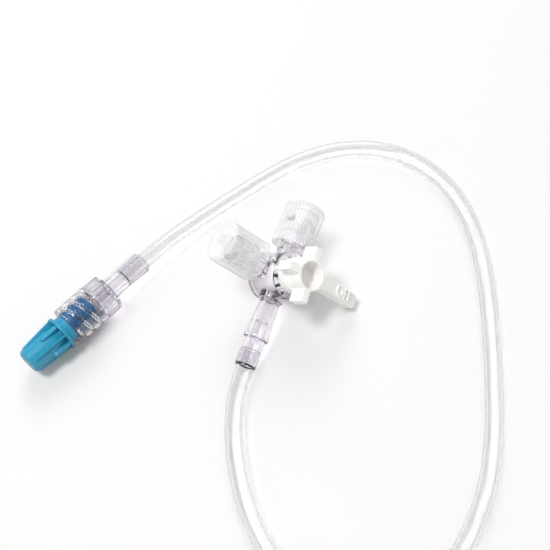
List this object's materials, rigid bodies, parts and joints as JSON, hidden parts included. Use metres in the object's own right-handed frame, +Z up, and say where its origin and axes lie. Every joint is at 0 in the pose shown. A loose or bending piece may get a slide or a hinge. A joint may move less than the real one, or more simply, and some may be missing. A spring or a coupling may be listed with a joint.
{
  "type": "three-way stopcock extension set",
  "caption": "Infusion extension set: clear three-way stopcock with white OFF handle, two frosted luer caps, short clear tube and a rotating male luer lock under a teal cap",
  "frame": {"origin": "the middle of the stopcock's footprint, on the surface that it lies on; the tube and the far connector are left out of it", "axes": "+Z up; +Y in plan along the inline port, from the outlet arm to the inline port's cap; +X towards the blank side, where the OFF arm of the tap points"},
  "size_m": [0.1096, 0.1186, 0.0237],
  "materials": {
    "clear_body": "injection moulded clear polycarbonate with a faint violet cast",
    "clear_luer": "injection moulded clear polycarbonate",
    "clear_tube": "extruded soft clear vinyl",
    "frosted_cap": "natural polyethylene, translucent and fine-fluted",
    "white_tap": "white moulded polyethylene",
    "teal_cap": "teal moulded polyethylene"
  },
  "bodies": {
    "set": {"stopcock_body": "clear_body", "tube_adapter": "clear_body", "tube": "clear_tube", "male_luer": "clear_luer"},
    "tap": {"tap": "white_tap"},
    "inline_cap": {"inline_port_cap": "frosted_cap"},
    "side_cap": {"side_port_cap": "frosted_cap"},
    "collar": {"locking_collar": "clear_luer"},
    "shield": {"luer_cap": "teal_cap"}
  },
  "joints": [
    {"name": "tap_turn", "type": "hinge", "parent": "set", "child": "tap", "pos_m": [-0.0012, 0.00205, 0.00785], "axis": [0.6899, -0.1505, 0.7081], "continuous": true},
    {"name": "inline_cap_off", "type": "slide", "parent": "set", "child": "inline_cap", "axis": [0, 0.9781, 0.2079], "range_m": [0, 0.012]},
    {"name": "side_cap_off", "type": "slide", "parent": "set", "child": "side_cap", "axis": [-0.7239, -0.1434, 0.6749], "range_m": [0, 0.012]},
    {"name": "collar_turn", "type": "hinge", "parent": "set", "child": "collar", "pos_m": [-0.04072, -0.02088, 0.00505], "axis": [0.3535, 0.9354, 0], "range_deg": [0, 470]},
    {"name": "shield_off", "type": "slide", "parent": "set", "child": "shield", "axis": [-0.3535, -0.9354, 0], "range_m": [0, 0.00663]}
  ],
  "couplings": [
    {"joint": "collar_turn", "follows": "shield_off", "rad_per_m": 1236.8}
  ]
}
